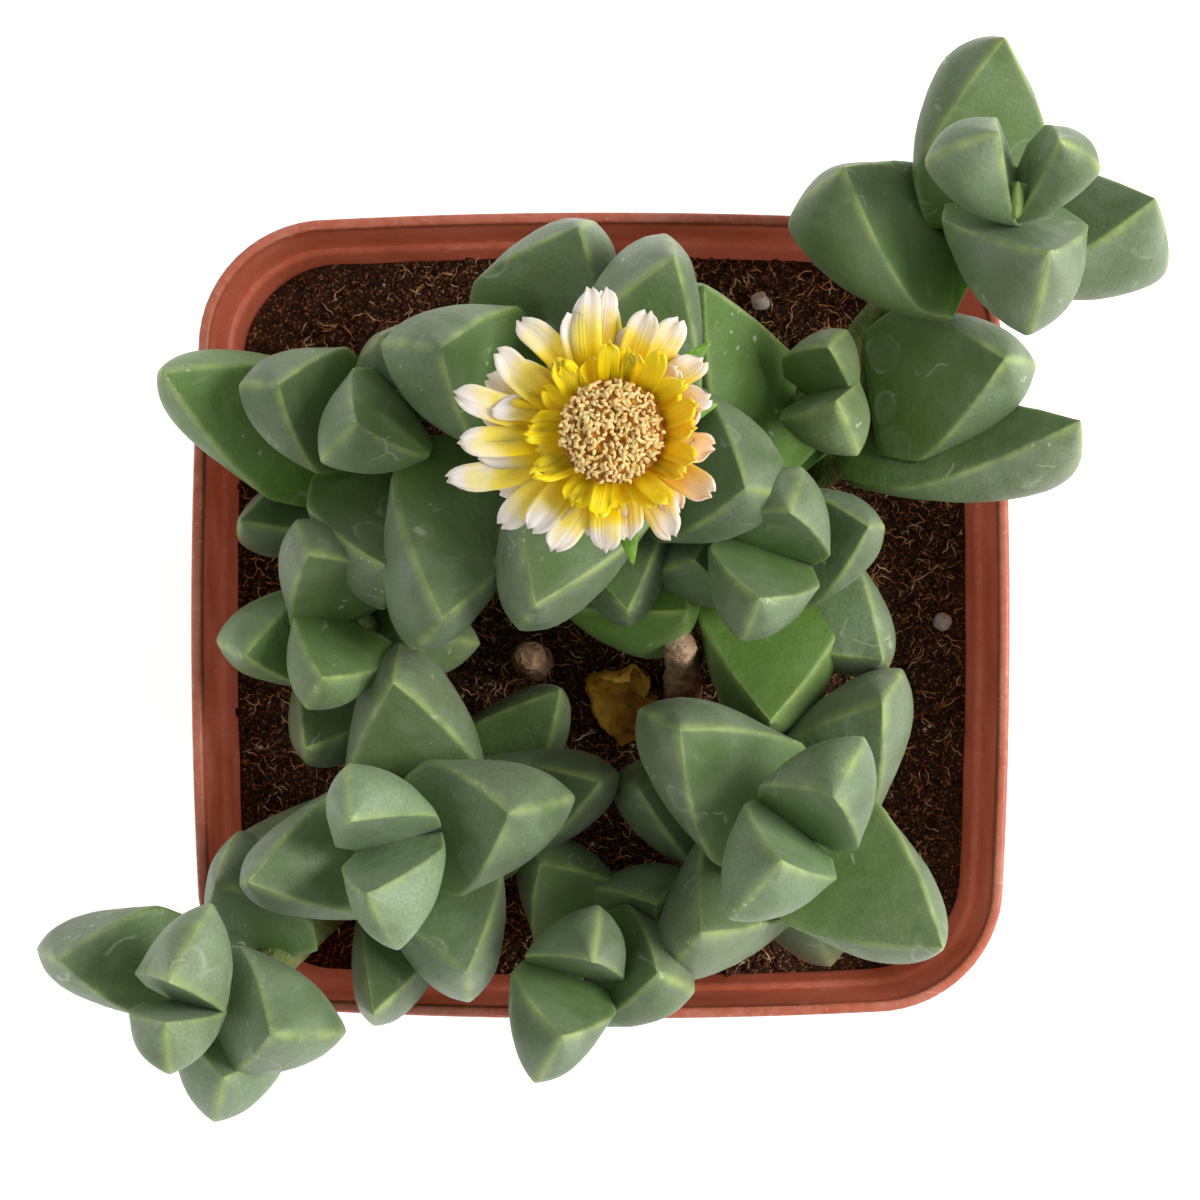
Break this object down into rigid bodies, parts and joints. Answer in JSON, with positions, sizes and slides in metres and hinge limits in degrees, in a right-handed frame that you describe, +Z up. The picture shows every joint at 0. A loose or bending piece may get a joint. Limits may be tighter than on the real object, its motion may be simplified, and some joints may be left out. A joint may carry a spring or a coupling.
{
  "type": "potted succulent plant",
  "caption": "Corpuscularia lehmannii ice plant with three-sided leaves and an open flower in a square plastic nursery pot.",
  "frame": {"origin": "middle of the pot's underside, in the plane it stands on", "axes": "+Z up, +Y towards the back of the plant as seen from above, +X to its right"},
  "size_m": [0.1101, 0.1048, 0.1236],
  "materials": {
    "pot_plastic": "satin",
    "peat": "rough",
    "leaf_skin": "satin",
    "old_wood": "rough",
    "dry_leaf_skin": "rough",
    "sepal_skin": "satin",
    "white_petal": "satin",
    "yellow_petal": "satin",
    "stamen": "rough",
    "perlite": "rough"
  },
  "bodies": {
    "root": {"pot": "pot_plastic", "soil": "peat", "shoot_flower": "leaf_skin", "shoot_corner_right": "leaf_skin", "shoot_axil": "leaf_skin", "shoot_front_left": "leaf_skin", "shoot_front_right": "leaf_skin", "shoot_right": "leaf_skin", "shoot_corner_left": "leaf_skin", "shoot_front": "leaf_skin", "shoot_back_left": "leaf_skin", "shoot_left": "leaf_skin", "woody_stem": "old_wood", "woody_stem_left": "old_wood", "dry_leaf": "dry_leaf_skin", "flower_calyx": "sepal_skin", "flower_outer_petals": "white_petal", "flower_inner_petals": "yellow_petal", "flower_stamens": "stamen", "perlite_left": "perlite", "perlite_right": "perlite"}
  },
  "joints": []
}
